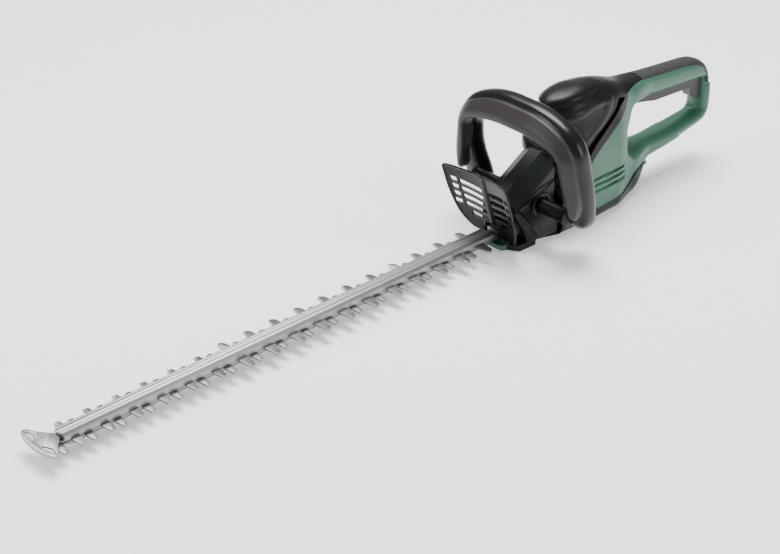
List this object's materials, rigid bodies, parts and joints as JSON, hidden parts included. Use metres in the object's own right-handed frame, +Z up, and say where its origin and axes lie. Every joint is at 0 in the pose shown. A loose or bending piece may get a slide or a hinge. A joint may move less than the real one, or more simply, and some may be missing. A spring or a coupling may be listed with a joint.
{
  "type": "hedge trimmer",
  "caption": "Corded electric hedge trimmer with a double-sided reciprocating blade, gearbox, upright motor, closed rear handle, front loop handle with switch bar and slotted hand guard.",
  "frame": {"origin": "middle of the bottom of the whole tool's bounding box, on the plane of the base's underside", "axes": "+X along the blade towards its tip, +Y to the operator's left, +Z up out of the motor hood"},
  "size_m": [1.0048, 0.201, 0.173],
  "materials": {
    "green_plastic": "satin moulded plastic",
    "black_plastic": "fine-grained moulded plastic",
    "rubber": "soft over-moulding with a raised diamond pattern",
    "grey_plastic": "satin warm grey plastic",
    "steel": "ground and polished",
    "dark_steel": "oiled steel",
    "copper": "varnished copper winding and laminations",
    "brass": "bright brass and copper bars",
    "carbon": "carbon and black thermoset",
    "white_plastic": "unpainted nylon"
  },
  "bodies": {
    "body": {"comb_blade": "steel", "guide_bar": "steel", "support_rail": "dark_steel", "bar_screw_1": "dark_steel", "bar_screw_2": "dark_steel", "bar_screw_3": "dark_steel", "bar_screw_4": "dark_steel", "bar_screw_5": "dark_steel", "tip_guard": "steel", "tip_guard_screw": "dark_steel", "trigger_pin": "dark_steel", "inlet_block": "black_plastic", "inlet_pin_left": "steel", "inlet_pin_right": "steel", "left_housing": "green_plastic", "right_housing": "green_plastic", "housing_screw_1": "dark_steel", "housing_screw_2": "dark_steel", "housing_screw_3": "dark_steel", "housing_screw_4": "dark_steel", "left_side_panel": "black_plastic", "right_side_panel": "black_plastic", "motor_hood": "black_plastic", "soft_grip": "rubber", "gearbox_housing": "black_plastic", "base_cover": "black_plastic", "hand_guard": "black_plastic", "front_handle": "black_plastic", "front_switch": "carbon", "switch_bar_spring": "dark_steel", "gear_bracket": "dark_steel", "gear_axle": "steel", "gear_screw_1": "dark_steel", "gear_screw_2": "dark_steel", "gear_screw_3": "dark_steel", "gear_screw_4": "dark_steel", "gear_plate": "steel", "blade_clamp": "dark_steel", "blade_screw_1": "dark_steel", "blade_screw_2": "dark_steel", "stator": "dark_steel", "lower_bearing": "steel", "upper_bearing": "steel", "left_brush_holder": "brass", "right_brush_holder": "brass", "left_brush": "carbon", "right_brush": "carbon", "capacitor": "white_plastic", "rear_switch": "carbon"},
    "armature": {"armature": "copper", "commutator": "brass", "cooling_fan": "white_plastic", "pinion": "steel"},
    "gear": {"drive_gear": "dark_steel"},
    "cutter": {"cutter_blade": "steel"},
    "trigger": {"rear_trigger": "grey_plastic"},
    "switch_bar": {"switch_bar": "grey_plastic"}
  },
  "joints": [
    {"name": "armature_spin", "type": "hinge", "parent": "body", "child": "armature", "pos_m": [-0.25032, 0, 0.06], "axis": [0, 0, 1], "continuous": true},
    {"name": "gear_spin", "type": "hinge", "parent": "body", "child": "gear", "pos_m": [-0.21207, 0, 0.025], "axis": [0, 0, 1], "continuous": true},
    {"name": "blade_slide", "type": "slide", "parent": "body", "child": "cutter", "axis": [1, 0, 0], "range_m": [-0.009, 0.009]},
    {"name": "trigger_pull", "type": "hinge", "parent": "body", "child": "trigger", "pos_m": [-0.35832, 0, 0.117], "axis": [0, 1, 0], "range_deg": [0, 1.83], "stiffness_Nm_per_rad": 3, "springref_deg": -2.86},
    {"name": "switch_bar_press", "type": "slide", "parent": "body", "child": "switch_bar", "axis": [-1, 0, 0], "range_m": [0, 0.004], "stiffness_N_per_m": 1500, "springref_m": -0.003, "deforming": ["switch_bar_spring"]}
  ],
  "couplings": [
    {"joint": "gear_spin", "follows": "armature_spin", "ratio": -0.15909}
  ]
}
